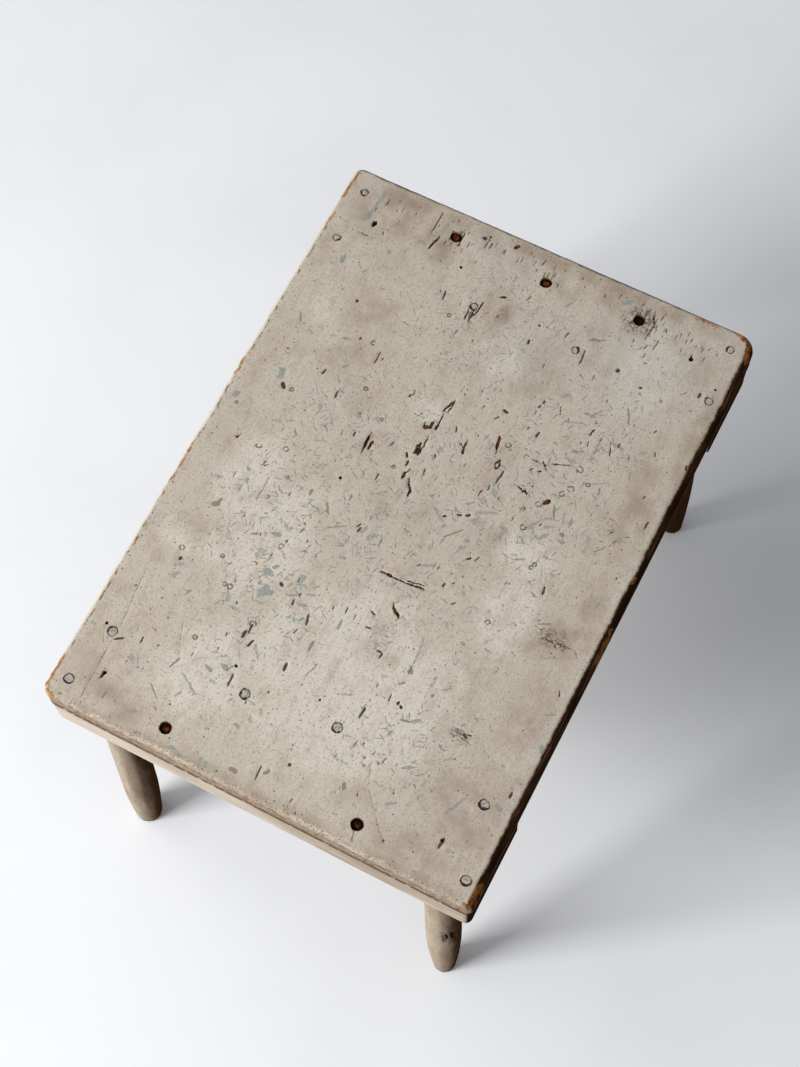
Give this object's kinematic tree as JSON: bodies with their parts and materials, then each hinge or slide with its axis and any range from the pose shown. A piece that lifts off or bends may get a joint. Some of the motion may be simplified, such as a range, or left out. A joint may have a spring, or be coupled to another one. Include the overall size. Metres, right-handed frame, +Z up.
{
  "type": "farmhouse stool",
  "caption": "Low wooden stool: a worn painted plank seat nailed and screwed to two cross battens, standing on splayed round tapered legs.",
  "frame": {"origin": "on the floor, under the middle of the seat", "axes": "+X along the seat and its grain, +Y across it towards the back, +Z up"},
  "size_m": [0.452, 0.32, 0.333],
  "materials": {
    "seat_paint": "old off-white paint on a softwood plank, worn through to a pale blue coat and brown wood",
    "batten_paint": "thin worn beige paint on softwood, dark with dirt at the ends",
    "leg_paint": "thin worn grey-beige paint on round wooden legs",
    "nail_steel": "flat nail heads painted over, dark at the rim",
    "rusty_steel": "rusty iron wood screws, orange brown",
    "pin_steel": "dark old iron finishing nails"
  },
  "bodies": {
    "root": {"seat_board": "seat_paint", "batten_left": "batten_paint", "batten_right": "batten_paint", "leg_back_left": "leg_paint", "leg_back_right": "leg_paint", "leg_front_left": "leg_paint", "leg_front_right": "leg_paint", "nail_outer_back_left": "nail_steel", "nail_outer_back_right": "nail_steel", "nail_outer_front_left": "nail_steel", "nail_outer_front_right": "nail_steel", "nail_inner_back_left": "nail_steel", "nail_inner_back_right": "nail_steel", "nail_inner_front_left": "nail_steel", "nail_inner_front_right": "nail_steel", "nail_middle_back_left": "nail_steel", "nail_middle_back_right": "nail_steel", "nail_middle_front_left": "nail_steel", "nail_middle_front_right": "nail_steel", "screw_back_left": "rusty_steel", "screw_front_left": "rusty_steel", "screw_front_right": "rusty_steel", "screw_middle_right": "rusty_steel", "screw_back_right": "rusty_steel", "leg_pin_back_left": "pin_steel", "leg_pin_back_right": "pin_steel", "leg_pin_front_left": "pin_steel", "leg_pin_front_right": "pin_steel"}
  },
  "joints": []
}
